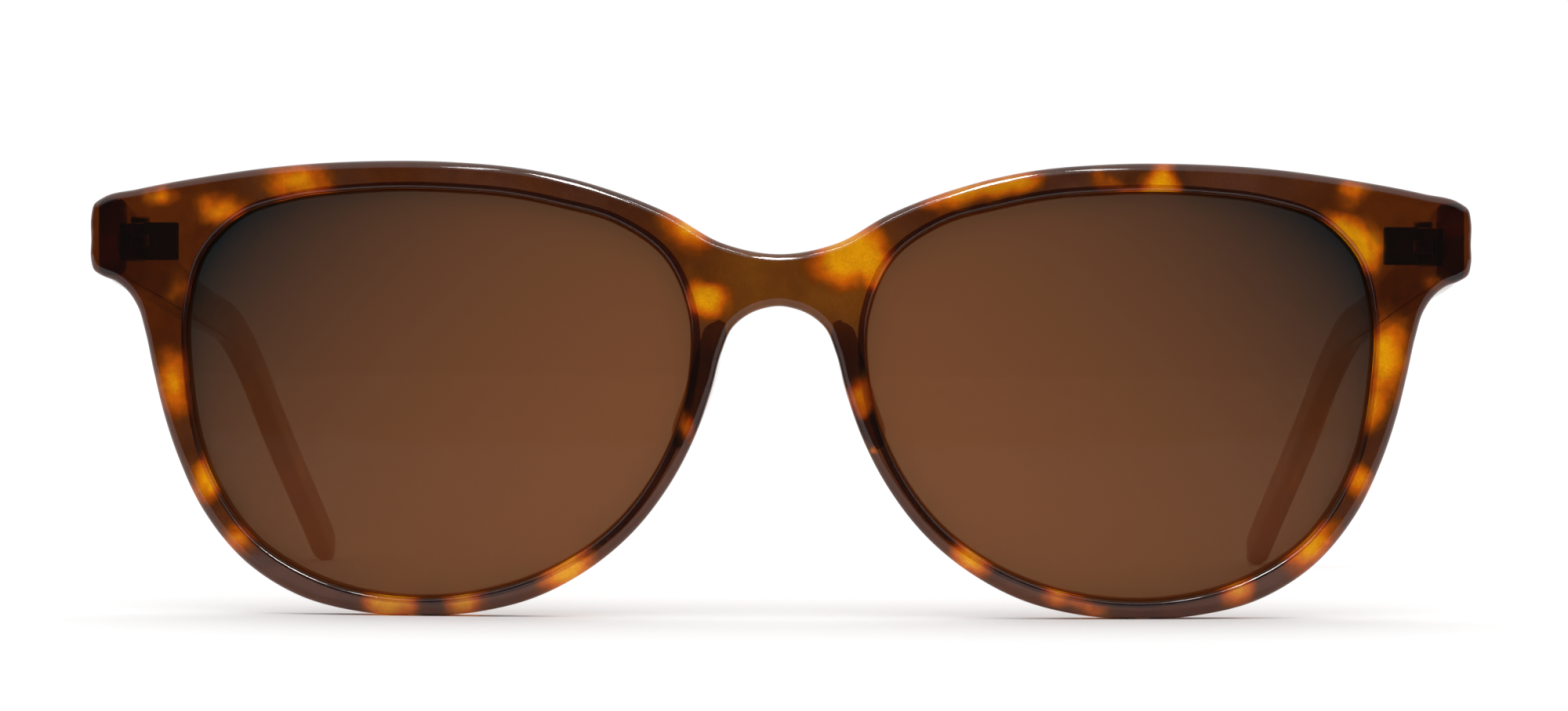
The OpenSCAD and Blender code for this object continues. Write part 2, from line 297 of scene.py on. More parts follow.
def rear_depth(p):
    """The rear surface, with the thick end pieces flowing into the plain sheet."""
    x, z = abs(p[:, 0]), p[:, 1]
    plain = FACE_R - np.sqrt((FACE_R - FRONT_T) ** 2 - x**2)
    inner_edge = THICK_X + (THICK_TOP - z) / THICK_LEAN
    thick = smooth((x - inner_edge + FLOW_LEAD) / FLOW_X) * smooth((z - THICK_Z) / FLOW_Z)
    return plain + (SEAT_Y - plain) * thick


def lens_depth(p, depth, side):
    """Depth of the lens's ball surfaces at a distance below its outer surface."""
    across = (p[:, 0] * side - BALL[0]) ** 2 + (p[:, 1] - BALL[2]) ** 2
    return BALL[1] - np.sqrt((LENS_R - depth) ** 2 - across)


def with_depth(loop, y):
    """Outline points (x, z) as points in space, at the depths y."""
    return [(x, d, z) for (x, z), d in zip(loop, np.broadcast_to(y, len(loop)))]


def rounding(radius):
    """Quarter round as pairs: how far in from the edge, and how far below the face."""
    return [(radius * (1 - math.sin(a)), radius * (1 - math.cos(a))) for a in ARC]


def behind_front(distance):
    return lambda p: front_depth(p) + distance


def before_rear(distance):
    return lambda p: rear_depth(p) - distance


def between(share):
    return lambda p: front_depth(p) * (1 - share) + rear_depth(p) * share


def outer_stations():
    """Outer edge of the front, from its front face to its rear face, as (offset, depth)."""
    return [
        (-FRONT_ROUND - SUPPORT, front_depth),
        *((-inset, behind_front(drop)) for inset, drop in rounding(FRONT_ROUND)),
        (0, between(0.33)), (0, between(0.67)),
        *((-inset, before_rear(drop)) for inset, drop in reversed(rounding(REAR_ROUND))),
        (-REAR_ROUND - SUPPORT, rear_depth),
    ]


def opening_stations(side):
    """Edge of a lens opening, from the front face over the groove and the lip to the rear face."""

    def ball(depth):
        return lambda p: lens_depth(p, depth, side)

    groove = TONGUE_INSET - FIT_GAP
    return [
        (MOUTH_ROUND + SUPPORT, front_depth),
        *((inset, behind_front(drop)) for inset, drop in rounding(MOUTH_ROUND)),
        (0, ball(groove)), (GROOVE_D, ball(groove)), (GROOVE_D, ball(LENS_T - groove)),
        (0, ball(LENS_T - groove)), (0, ball(LENS_T + FIT_GAP)), (-LIP_W, ball(LENS_T + FIT_GAP)),
        *((inset - LIP_W, before_rear(drop)) for inset, drop in reversed(rounding(LIP_ROUND))),
        (-LIP_W + LIP_ROUND + SUPPORT, rear_depth),
    ]


def face_points(face, loops):
    """Points inside a face of the front, finer at the rear where the end pieces grow thick."""
    spots = hexagonal(loops, POINT_GAP, POINT_CLEAR, FACE_BOX)
    if face == "front":
        return spots
    coarse = (abs(spots[:, 0]) <= FINE_X) | (spots[:, 1] <= FINE_Z)
    fine = hexagonal(loops, FINE_GAP, FINE_CLEAR, (FACE_BOX[0], FINE_Z, *FACE_BOX[2:]))
    fine = fine[abs(fine[:, 0]) > FINE_X]
    return np.concatenate([spots[coarse], fine])


def front_shell():
    """One-piece front with grooved openings. Face kind 1 is the front wall and floor of a groove."""
    shell = Shell()
    loops, ids = {"front": [], "rear": []}, {"front": [], "rear": []}

    def wall(loop, stations, groove_joins=()):
        """Rings at the stations, joined in turn."""
        rings = []
        for offset, depth in stations:
            moved = grown(loop, offset)
            rings.append((moved, shell.ring(with_depth(moved, depth(moved)))))
        for k, (a, b) in enumerate(zip(rings, rings[1:])):
            shell.join(a[1], b[1], int(k in groove_joins))
        for face, (moved, ring) in (("front", rings[0]), ("rear", rings[-1])):
            loops[face].append(moved)
            ids[face].append(ring)

    wall(front_loop, outer_stations())
    for side in (1, -1):
        wall(opening_loop(side), opening_stations(side), (len(ARC) + 1, len(ARC) + 2))
    for face, depth in (("front", front_depth), ("rear", rear_depth)):
        shell.fill(loops[face], ids[face], face_points(face, loops[face]), depth)
    return shell


# ---- the lenses ----

LENS_CHAMFER = 0.12
LENS_BOX, LENS_POINT_GAP, LENS_POINT_CLEAR = (0, 0, 70, 47), 2, 0.8


def lens_shell():
    """Curved pane with a tongue round its edge. Face kind 0 carries the tint and 1 is clear."""
    shell = Shell()
    loop = opening_loop(1)
    edge = -FIT_GAP
    tongue = GROOVE_D - FIT_GAP
    stations = [
        (edge - LENS_CHAMFER, 0), (edge, LENS_CHAMFER), (edge, TONGUE_INSET), (tongue, TONGUE_INSET),
        (tongue, LENS_T - TONGUE_INSET), (edge, LENS_T - TONGUE_INSET), (edge, LENS_T - LENS_CHAMFER),
        (edge - LENS_CHAMFER, LENS_T),
    ]
    rings = []
    for offset, depth in stations:
        moved = grown(loop, offset)
        rings.append((moved, shell.ring(with_depth(moved, lens_depth(moved, depth, 1)))))
    for k, (a, b) in enumerate(zip(rings, rings[1:])):
        shell.join(a[1], b[1], int(k > 1))  # the tint runs over the edge to the tongue
    for (moved, ids), depth, kind in ((rings[0], 0, 0), (rings[-1], LENS_T, 1)):
        spots = hexagonal([moved], LENS_POINT_GAP, LENS_POINT_CLEAR, LENS_BOX)
        shell.fill([moved], [ids], spots, lambda p, d=depth: lens_depth(p, d, 1), kind)
    return shell


# ---- the nose pads ----

# Middle of a pad's root behind the side of the nose: x, z, height of its crest behind the rim
PAD_LINE = [
    (5.85, 30.2, 0.15), (6.5, 28.9, 1.6), (7.25, 26.6, 3.2), (8.0, 24.1, 4.1), (8.85, 21.4, 3.9),
    (9.7, 19.0, 2.5), (10.45, 17.3, 0.15),
]
PAD_ROOT, PAD_CREST = 1.25, 0.85   # half widths at the rim and at the crest
PAD_LEAN, PAD_SINK = 0.17, 0.3     # lean towards the nose per height, and depth in the rim
ROOT_END, CREST_END = 0.35, 0.3    # how narrow the two ends are, as shares of the half widths
PAD_RINGS, CLOSING = 40, 7         # rings along the pad, and how many of them close an end


def pad_shell():
    """Low ridge along the side of the nose, with a round crest and narrowing ends."""
    line = np.array(PAD_LINE)
    along = np.linspace(0, len(line) - 1, PAD_RINGS)
    spine = np.array([[flowing(list(enumerate(line[:, k])), s) for k in range(3)] for s in along])
    heading = np.gradient(spine[:, :2], axis=0)
    heading /= np.linalg.norm(heading, axis=1)[:, None]
    outward = np.stack([-heading[:, 1], heading[:, 0]], 1)
    rings = []
    for k, ((x, z, height), (nx, nz)) in enumerate(zip(spine, outward)):
        open_share = smooth(min(k, len(spine) - 1 - k) / CLOSING)
        root = PAD_ROOT * (ROOT_END + (1 - ROOT_END) * open_share)
        crest = PAD_CREST * (CREST_END + (1 - CREST_END) * open_share)
        base = float(rear_depth(np.array([[x, z]]))[0]) - PAD_SINK
        tall = max(height, 0.1) + PAD_SINK
        round_h = min(crest, tall * 0.6)
        waist = (root + crest) / 2, tall * 0.35
        section = [(root, 0), waist]
        for a in range(0, 181, 20):
            turn = math.radians(a)
            section.append((crest * math.cos(turn), tall - round_h + round_h * math.sin(turn)))
        section += [(-waist[0], waist[1]), (-root, 0)]
        ring = []
        for w, h in section:
            w -= PAD_LEAN * h
            ring.append((x + nx * w, base + h, z + nz * w))
        rings.append(ring)
    shell = Shell()
    shell.loft(rings)
    return shell


# ---- the temples and their core wires ----

# Middle line seen from the side, as (y, z) from its front end: a run, a bend and a straight tip
DROP, SLOPE = math.radians(TEMPLE_DROP), math.radians(TIP_SLOPE)
BEND_LEN = BEND_R * (SLOPE - DROP)
RUN_END = TEMPLE_RUN * np.array([math.cos(DROP), -math.sin(DROP)])
BEND_END = RUN_END + BEND_R * np.array([
    math.sin(SLOPE) - math.sin(DROP), math.cos(SLOPE) - math.cos(DROP),
])
TIP_LEN = (TEMPLE_Z + BEND_END[1] - TIP_R) / math.sin(SLOPE)
TEMPLE_LEN = TEMPLE_RUN + BEND_LEN + TIP_LEN
# Half height, half thickness and sideways bow, each against the distance along the middle line
HALF_H = [(0, 4.05), (12, 3.9), (30, 3.3), (60, 2.65), (90, 2.4), (112, 2.7), (TEMPLE_LEN, TIP_R)]
HALF_T = [(0, TEMPLE_T / 2), (40, 1.4), (TEMPLE_LEN, 1.3)]
PATH_X = [
    (0, 0), (20, 0.35), (45, 0.6), (75, 0.45), (90, -0.2), (100, -1.2), (112, -3.2), (TEMPLE_LEN, -9),
]
TEMPLE_ROUND = 0.95
BREAK = 0.1               # broken edges of the metal pieces
TONE_SPLIT = 0.18         # where the temple's tone changes, as a share of its half thickness
CORNER_STEPS = 6
EASE_ZONE = 11            # length over which the sections turn from upright to square to the line
TEMPLE_STEP = 1.6
FRONT_EASE = [(0, 0.28), (0.08, 0.1), (0.28, 0)]     # broken front end: distance along, inset
TIP_TURNS = (12, 24, 36, 48, 60, 70, 79, 86)         # angles of the rounded tip's sections
TIP_HOLD = 0.4            # power below 1 that keeps the tip's thickness longer than its height


def temple_slope(s):
    """Downward angle of the middle line at a distance s from the front end."""
    return min(SLOPE, DROP + max(0, s - TEMPLE_RUN) / BEND_R)


def temple_middle(s):
    """Middle line at a distance s from the front end: x, y, z."""
    a = temple_slope(s)
    if s <= TEMPLE_RUN:
        y, z = s * math.cos(DROP), -s * math.sin(DROP)
    elif s <= TEMPLE_RUN + BEND_LEN:
        y = RUN_END[0] + BEND_R * (math.sin(a) - math.sin(DROP))
        z = RUN_END[1] + BEND_R * (math.cos(a) - math.cos(DROP))
    else:
        rest = s - TEMPLE_RUN - BEND_LEN
        y, z = BEND_END[0] + rest * math.cos(a), BEND_END[1] - rest * math.sin(a)
    return TEMPLE_IN_X + TEMPLE_T / 2 + float(flowing(PATH_X, s)), TEMPLE_Y + y, TEMPLE_Z + z


def rounded_section(half_t, half_h, corner):
    """Rounded rectangle as (across, up) pairs."""
    widest = 0.98  # leaves a short flat on each side
    corner = min(corner, half_t * widest, half_h * widest)
    out = []
    for sx, sz, first in ((1, 1, 0), (-1, 1, 90), (-1, -1, 180), (1, -1, 270)):
        for k in range(CORNER_STEPS + 1):
            a = math.radians(first + 90 * k / CORNER_STEPS)
            out.append((
                sx * (half_t - corner) + corner * math.cos(a),
                sz * (half_h - corner) + corner * math.sin(a),
            ))
        if sx == sz:  # a point on the flat top and bottom, where the tone changes
            out.append((TONE_SPLIT * half_t, sz * half_h))
    return out


def temple_ring(s, half_t, half_h, corner, upright=0.0):
    """Section across the temple at s. upright 1 turns it square to the seat."""
    x, y, z = temple_middle(s)
    a = temple_slope(s)
    up = (math.sin(a) * (1 - upright), math.cos(a))
    return [
        (x + across, y + high * up[0], z + high * up[1])
        for across, high in rounded_section(half_t, half_h, corner)
    ]


WIRE_END_Y = temple_middle(TEMPLE_LEN - WIRE_END_GAP)[1]


def temple_shell():
    """Tapering arm with a bent tip. Face kind 0 is the darker outer side and 1 the paler inner one."""
    rings = []
    for s, inset in FRONT_EASE:
        ring = temple_ring(s, HALF_T[0][1] - inset, HALF_H[0][1] - inset, TEMPLE_ROUND - inset, 1)
        rings.append([(x, TEMPLE_Y + s, z) for x, y, z in ring])
    near, far = np.arange(1, EASE_ZONE + 1, 1.0), np.arange(EASE_ZONE + 1, TEMPLE_LEN, TEMPLE_STEP)
    for s in [*near, *far, TEMPLE_LEN]:
        upright = float(1 - smooth(s / EASE_ZONE))
        rings.append(temple_ring(
            s, float(flowing(HALF_T, s)), float(flowing(HALF_H, s)), TEMPLE_ROUND, upright
        ))
    x, y, z = temple_middle(TEMPLE_LEN)
    bow = x - temple_middle(TEMPLE_LEN - 1)[0]
    for turn in map(math.radians, TIP_TURNS):
        high = TIP_R * math.cos(turn)
        across = HALF_T[-1][1] * math.cos(turn) ** TIP_HOLD
        beyond = TIP_R * math.sin(turn)
        rings.append([
            (x + bow * beyond + w,
             y + beyond * math.cos(SLOPE) + h * math.sin(SLOPE),
             z - beyond * math.sin(SLOPE) + h * math.cos(SLOPE))
            for w, h in rounded_section(across, high, TEMPLE_ROUND)
        ])
    shell = Shell()
    shell.loft(rings, caps=False)
    middle = [np.mean(r, 0)[0] + TONE_SPLIT * HALF_T[0][1] for r in rings]
    n = len(rings[0])
    wire_end = next(k for k, r in enumerate(rings) if np.mean(r, 0)[1] > WIRE_END_Y)
    for i in range(len(shell.faces)):  # the side towards the head is paler, and so is the tip
        k, j = divmod(i, n)
        edge = (rings[k][j][0] + rings[k][(j + 1) % n][0]) / 2
        shell.kinds[i] = int(edge < middle[k] or k >= wire_end)
    shell.face(range(n - 1, -1, -1))
    shell.face(range(len(shell.points) - n, len(shell.points)))
    return shell


def wire_shell():
    """Flat wire with eased corners and a pointed end."""
    end = TEMPLE_LEN - WIRE_END_GAP
    half_t, half_h, corner, step = WIRE_T / 2, WIRE_H / 2, 0.22, 1.5
    rings = [temple_ring(WIRE_FROM, half_t - BREAK, half_h - BREAK, 0.15)]
    straight_end = end - 1.2
    for s in [WIRE_FROM + BREAK, *np.arange(WIRE_FROM + step, straight_end, step)]:
        rings.append(temple_ring(s, half_t, half_h, corner))
    for k in range(7):  # the point is as long as the wire is half high, and ends 0.55 as thick
        left = half_h * (1 - k / 6.3)
        rings.append(temple_ring(end - left, half_t * (0.55 + 0.45 * left / half_h), left, corner))
    shell = Shell()
    shell.loft(rings)
    return shell


# ---- the hinges ----

HOLE_R, HOLE_BREAK = SCREW_R + 0.04, 0.08
LEAF_PROUD, LEAF_BREAK, LEAF_CORNER = 0.1, 0.07, 0.18
PLATE_CORNER = 0.45
BARREL_TURN = 7.5         # degrees between the points round a barrel
CORNER_SIDE = 0.03        # radians from an arm's corner to the points beside it
HINGE_BOTTOM = HINGE_Z - HINGE_H / 2


def eased(points, corner):
    """Outline with each corner rounded off over the given length."""
    steps = 4
    out = []
    p = [np.array(q, float) for q in points]
    for a, b, c in zip([p[-1], *p[:-1]], p, [*p[1:], p[0]]):
        u, v = (a - b) / np.linalg.norm(a - b), (c - b) / np.linalg.norm(c - b)
        start, end = b + u * corner, b + v * corner
        for k in range(steps + 1):
            t = k / steps
            out.append(start * (1 - t) ** 2 + b * 2 * t * (1 - t) + end * t**2)
    return np.array(out)


def clockwise(loop):
    """The outline in the direction that grown() needs."""
    x, z = loop[:, 0], loop[:, 1]
    area = (x * np.roll(z, -1) - np.roll(x, -1) * z).sum()
    return loop if area < 0 else loop[::-1]


def slab(outline, low, high, axes, edge=BREAK):
    """Plate of an outline with broken edges. axes turns (u, v, height) into x, y, z."""
    loop = clockwise(outline)
    rings = []
    for height, inset in ((low, edge), (low + edge, 0), (high - edge, 0), (high, edge)):
        rings.append([axes(u, v, height) for u, v in grown(loop, -inset)])
    shell = Shell()
    shell.loft(rings)
    return shell


def knuckle(arm, low, high):
    """Barrel with an arm: the round and the arm's rectangle as one outline, with the screw's hole."""
    x0, y0, x1, y1 = arm
    turns = {round(a, 4) for a in np.radians(np.arange(0, 360, BARREL_TURN))}
    for x in (x0, x1):
        for y in (y0, y1):
            if math.hypot(x, y) > BARREL_R:  # a corner of the arm, with a near point on each side
                corner = math.atan2(y, x) % (2 * math.pi)
                turns |= {round(corner + d, 4) for d in (-CORNER_SIDE, 0, CORNER_SIDE)}
    outline = []
    for a in sorted(turns):
        c, s = math.cos(a), math.sin(a)
        reach = min(
            (x1 if c > 0 else x0) / c if abs(c) > 1e-6 else math.inf,
            (y1 if s > 0 else y0) / s if abs(s) > 1e-6 else math.inf,
        )
        outline.append((a, max(BARREL_R, reach)))
    shell = Shell()

    def ring(height, inset, hole):
        r = [HOLE_R - inset if hole else reach - inset for _, reach in outline]
        return [
            (AXIS_X + q * math.cos(a), AXIS_Y + q * math.sin(a), height)
            for q, (a, _) in zip(r, outline)
        ]

    outer = [ring(h, i, False) for h, i in
             ((low, BREAK), (low + BREAK, 0), (high - BREAK, 0), (high, BREAK))]
    inner = [ring(h, i, True) for h, i in
             ((high, -HOLE_BREAK), (high - HOLE_BREAK, 0), (low + HOLE_BREAK, 0), (low, -HOLE_BREAK))]
    ids = [shell.ring(r) for r in [*outer, *inner]]
    for a, b in zip(ids, [*ids[1:], ids[0]]):
        shell.join(a, b)
    return shell


def lathe(profile):
    """Solid of revolution about the hinge's axis, from (radius, height) pairs."""
    steps = 48
    turn = [2 * math.pi * k / steps for k in range(steps)]
    rings = []
    for r, h in profile:
        rings.append([(AXIS_X + r * math.cos(a), AXIS_Y + r * math.sin(a), h) for a in turn])
    shell = Shell()
    shell.loft(rings)
    return shell


def combined(shells, cut=None):
    """One clean solid: the union of the shells, less the cut."""
    temps = []
    for s in [*shells, *([cut] if cut else [])]:
        mesh = bpy.data.meshes.new("part")
        mesh.from_pydata(s.points, [], s.faces)
        shade(mesh, 30)
        ob = bpy.data.objects.new("part", mesh)
        bpy.context.scene.collection.objects.link(ob)
        temps.append(ob)
    base = temps[0]
    for ob in temps[1:]:
        m = base.modifiers.new("join", "BOOLEAN")
        m.object, m.solver = ob, "EXACT"
        m.operation = "DIFFERENCE" if cut and ob is temps[-1] else "UNION"
    done = base.evaluated_get(bpy.context.evaluated_depsgraph_get()).to_mesh()
    out = Shell()
    out.points = [tuple(v.co) for v in done.vertices]
    for f in done.polygons:
        out.face(f.vertices)
    for ob in temps:
        mesh = ob.data
        bpy.data.objects.remove(ob)
        bpy.data.meshes.remove(mesh)
    return out


def front_hinge_shell():
    """Notched leaf with the upper and lower barrels. Face kind 1 is what lies in the acetate, and it
    takes the darker nickel as painted shade.
    """
    low, high = HINGE_BOTTOM, HINGE_BOTTOM + HINGE_H
    out_x = LEAF_X + LEAF_W
    leaf = eased([
        (LEAF_X, low), (out_x, low), (out_x, low + KNUCKLE), (out_x - NOTCH_W, low + KNUCKLE),
        (out_x - NOTCH_W, high - KNUCKLE), (out_x, high - KNUCKLE), (out_x, high), (LEAF_X, high),
    ], LEAF_CORNER)
    shells = [slab(
        leaf, SEAT_Y - LEAF_D, SEAT_Y + LEAF_PROUD, lambda u, v, h: (u, h, v), LEAF_BREAK
    )]
    arm = (LUG_X - AXIS_X, SEAT_Y + 0.05 - AXIS_Y, 0, -0.05)
    for z in (low, high - KNUCKLE):
        shells.append(knuckle(arm, z, z + KNUCKLE))
    return combined(shells).mark(lambda p: p[1] < SEAT_Y)


def temple_hinge_shell():
    """Plate with the middle barrel. Face kind 1 is what lies in the acetate, and it takes the darker
    nickel as painted shade.
    """
    low, high = HINGE_BOTTOM, HINGE_BOTTOM + HINGE_H
    plate = eased([
        (PLATE_Y, low), (PLATE_Y + PLATE_LEN, low), (PLATE_Y + PLATE_LEN, high), (PLATE_Y, high),
    ], PLATE_CORNER)
    shells = [slab(
        plate, TEMPLE_IN_X - PLATE_OUT, TEMPLE_IN_X + PLATE_D, lambda u, v, h: (h, u, v)
    )]
    arm = (0, 0, TEMPLE_IN_X + 0.6 - AXIS_X, PLATE_Y + 1 - AXIS_Y)
    shells.append(knuckle(arm, low + KNUCKLE + FIT_GAP, high - KNUCKLE - FIT_GAP))
    return combined(shells).mark(lambda p: p[0] > TEMPLE_IN_X)


def screw_shell():
    """Plain pin with a low domed head, slotted across."""
    low, top = HINGE_BOTTOM - 0.2, HINGE_BOTTOM + HINGE_H + FIT_GAP
    head = BARREL_R - 0.1
    profile = [
        (SCREW_R - 0.12, low), (SCREW_R, low + 0.12), (SCREW_R, top - 0.04), (head - 0.08, top),
        (head, top + 0.08), (head, top + 0.42), (head - 0.07, top + 0.56), (head - 0.22, top + 0.65),
        (head - 0.5, top + 0.7),
    ]
    reach, half_w, floor_z, above = 1.5, 0.15, top + 0.35, top + 1
    slot = slab(
        np.array([(-reach, -half_w), (reach, -half_w), (reach, half_w), (-reach, half_w)]),
        floor_z, above, lambda u, v, h: (AXIS_X + u, AXIS_Y + v, h), 0.01,
    )
    return combined([lathe(profile)], slot)


# ---- materials ----


def add_node(tree, kind, inputs=(), **settings):
    """A new node with its settings, each input linked to a socket or set to a value."""
    n = tree.nodes.new(kind)
    for key, value in settings.items():
        setattr(n, key, value)
    for key, value in dict(inputs).items():
        if isinstance(value, bpy.types.NodeSocket):
            tree.links.new(value, n.inputs[key])
        else:
            n.inputs[key].default_value = value
    return n


class Look:
    """A node material under construction."""

    def __init__(self, name):
        self.material = bpy.data.materials.new(name)
        self.material.use_nodes = True
        self.tree = self.material.node_tree
        self.tree.nodes.clear()

    def add(self, kind, inputs=(), **settings):
        return add_node(self.tree, kind, inputs, **settings)

    def math(self, how, a, b=0.0, c=0.0):
        return self.add("ShaderNodeMath", {0: a, 1: b, 2: c}, operation=how).outputs[0]

    def vector(self, how, a, b, c=(0, 0, 0)):
        return self.add("ShaderNodeVectorMath", {0: a, 1: b, 2: c}, operation=how).outputs[0]

    def spread(self, value, low, high, to_low=0.0, to_high=1.0):
        """The value from low to high, eased onto to_low to to_high."""
        n = self.add("ShaderNodeMapRange", {
            "Value": value, "From Min": low, "From Max": high, "To Min": to_low, "To Max": to_high,
        }, interpolation_type="SMOOTHSTEP")
        return n.outputs["Result"]

    def mix(self, share, a, b, how="MIX"):
        n = self.add("ShaderNodeMix", {0: share, 6: a, 7: b}, data_type="RGBA", blend_type=how)
        return n.outputs[2]

    def noise(self, vector, scale, detail=2.0, rough=0.5):
        n = self.add("ShaderNodeTexNoise", {
            "Vector": vector, "Scale": scale, "Detail": detail, "Roughness": rough,
        })
        return n.outputs["Fac"]

    def ramp(self, value, stops, ease):
        n = self.add("ShaderNodeValToRGB", {"Fac": value})
        band = n.color_ramp
        band.interpolation = ease
        while len(band.elements) < len(stops):
            band.elements.new(0.5)
        for e, (at, colour) in zip(band.elements, stops):
            e.position = at
            e.color = colour
        return n.outputs["Color"]

    def where(self, scale=(1000.0, 1000.0, 1000.0)):
        """The piece's own coordinates, in millimetres by default."""
        return self.vector("MULTIPLY", self.add("ShaderNodeTexCoord").outputs["Object"], scale)

    def bump(self, height, strength, distance):
        n = self.add("ShaderNodeBump", {
            "Height": height, "Strength": strength, "Distance": distance,
        })
        return n.outputs["Normal"]

    def outside(self, share):
        """The share on a surface's outer side, none on its inner side."""
        inner_side = self.add("ShaderNodeNewGeometry").outputs["Backfacing"]
        return self.math("MULTIPLY", share, self.math("SUBTRACT", 1.0, inner_side))

    def blend(self, share, a, b):
        """Shader b in its share, and a in what is left."""
        return self.add("ShaderNodeMixShader", {0: share, 1: a.outputs[0], 2: b.outputs[0]})

    def finish(self, shader):
        self.add("ShaderNodeOutputMaterial", {"Surface": shader.outputs[0]})
        return self.material


def rgb(r, g, b):
    """An sRGB colour of 0 to 255 as the linear one that sockets take."""
    def linear(c):
        c /= 255
        return c / 12.92 if c <= 0.04045 else ((c + 0.055) / 1.055) ** 2.4

    return (linear(r), linear(g), linear(b), 1.0)


# Amber patches of the front, seen from the front: x, z, half width, half height, tilt of the long
# axis in degrees, strength
AMBER = [
    (-64, 43.1, 2.8, 2.2, 10, 0.9), (-57.4, 41.5, 4.8, 3.2, -20, 1), (-49.4, 44.3, 6.6, 4, 4, 1),
    (-61.8, 33.4, 3.2, 4.8, 0, 0.7), (-62.4, 23.6, 3.5, 7, 8, 1.0), (-58.3, 15, 2.6, 3.4, 25, 0.9),
    (-55.6, 7.6, 3.2, 3.2, 40, 0.95), (-59, 12.6, 2.8, 3.4, 30, 0.95), (-39.6, 1.6, 4.8, 3.8, 0, 1.3),
    (-32, 1.5, 3.6, 3.0, 0, 1.15), (-21.6, 5, 5.4, 4, 33, 1.25), (-9.6, 19.4, 1.8, 3.4, 18, 0.9),
    (-9.4, 39.7, 5.4, 3.4, -28, 1.05), (-7.4, 32.5, 4.0, 3.6, 0, 1.3), (7.0, 37.2, 6.4, 5.0, 30, 1.5),
    (11, 33.6, 2.8, 4.2, 12, 0.9), (19.2, 43.4, 9.5, 2.6, 12, 1.1), (24.8, 44.4, 4.4, 2.2, 10, 0.55),
    (32.5, 45.2, 2.8, 2.4, 0, 0.6), (39.4, 45.6, 2.8, 5.0, 0, 0.85), (37.4, 43.1, 6.4, 2.8, 0, 0.9),
    (59, 43.8, 3.8, 1.9, -8, 0.85), (58.9, 38.7, 6.4, 3.5, -44, 1.4), (67.5, 34.2, 3, 2.6, -30, 0.6),
    (62.2, 26.8, 3.8, 7.6, -6, 1.25), (60.1, 20.6, 3.0, 4.0, 0, 0.85), (59.6, 14, 2.8, 3.4, 0, 1.0),
    (54.6, 7.3, 6.4, 3.7, 46, 1.1), (47, 3, 4, 2.8, 20, 1.05), (28.7, 2.7, 3.4, 3.0, -10, 1.1),
    (32.4, 1, 2.8, 2.2, 0, 0.8), (19.8, 6.3, 4.2, 3.6, -35, 1.2), (8.2, 23, 2.4, 3.2, -20, 0.95),
    (8.7, 20.8, 1.8, 2.6, -20, 0.6), (9.9, 16.8, 0.8, 0.7, 0, 0.9),
]


def spots_in(look, flat):
    """Makes the function for soft oval spots in the front's plane."""

    def spot(x, z, wide, tall, tilt=0):
        """1 at the middle of the spot, falling to 0 at its rim."""
        local = look.add("ShaderNodeMapping", {
            "Vector": flat, "Location": (x, 0, z), "Rotation": (0, -math.radians(tilt), 0),
            "Scale": (wide, 1, tall),
        }, vector_type="TEXTURE").outputs[0]
        round_spot = look.add("ShaderNodeTexGradient", {"Vector": local}, gradient_type="SPHERICAL")
        return round_spot.outputs["Fac"]

    return spot


def amber_share(look, at, bent, spot, patches):
    """How amber each place is: the chosen patches, or else free blobs, with cloudy edges."""
    if patches:
        amount = 0.0
        for *place_and_size, strength in patches:
            amount = look.math("MULTIPLY_ADD", spot(*place_and_size), strength, amount)
    else:
        amount = look.spread(look.noise(bent, 0.13, 1.0, 0.4), 0.5, 0.72)
    cloud = look.spread(look.noise(at, 0.5), 0.3, 0.7, -0.07, 0.07)
    return look.spread(look.math("ADD", amount, cloud), 0.2, 1.1)


def ground_colour(look, at, spot, patches):
    """What gets through the dark parts: brown, with reddish drifts, and olive at the bridge."""
    drift = look.spread(look.noise(at, 0.09), 0.4, 0.7, 0.0, 0.7)
    reddish, olive = (0.315, 0.132, 0.012, 1), (0.45, 0.24, 0.05, 1)
    if not patches:
        return look.mix(drift, (0.305, 0.14, 0.06, 1), reddish)
    for side in (-1, 1):
        end_piece = look.spread(spot(63 * side, 36, 17, 15), 0.0, 0.6)
        drift = look.math("ADD", drift, end_piece)
    ground = look.mix(look.math("MINIMUM", drift, 1.0), (0.305, 0.166, 0.11, 1), reddish)
    bridge = look.spread(spot(1, 35, 15, 10), 0.0, 0.6, 0.0, 0.85)
    return look.mix(bridge, ground, olive)


def let_through(look, at, amber, ground, thin):
    """Colour that gets through one surface: the ground and the glowing amber, clouded and grainy."""
    glow = look.ramp(amber, [
        (0.0, (0.33, 0.15, 0.02, 1)), (0.3, (0.56, 0.23, 0.01, 1)), (0.6, (0.85, 0.35, 0.01, 1)),
        (1.0, (1.0, 0.66, 0.025, 1)),
    ], "LINEAR")
    passed = look.mix(look.spread(amber, 0.0, 0.3), ground, glow)
    grain = look.ramp(look.noise(at, 5.0, 3.0, 0.8), [
        (0.35, (0.8, 0.8, 0.8, 1)), (0.65, (1.0, 1.0, 1.0, 1)),
    ], "LINEAR")
    clouds = look.ramp(look.noise(at, 0.2, 3.0, 0.6), [
        (0.38, (0.87, 0.83, 0.81, 1)), (0.58, (1.06, 1.06, 1.06, 1)),
    ], "EASE")
    for texture in (grain, clouds):
        passed = look.mix(1.0, passed, texture, "MULTIPLY")
    if thin < 1:
        passed = look.add("ShaderNodeGamma", {"Color": passed, "Gamma": thin}).outputs[0]
    return passed


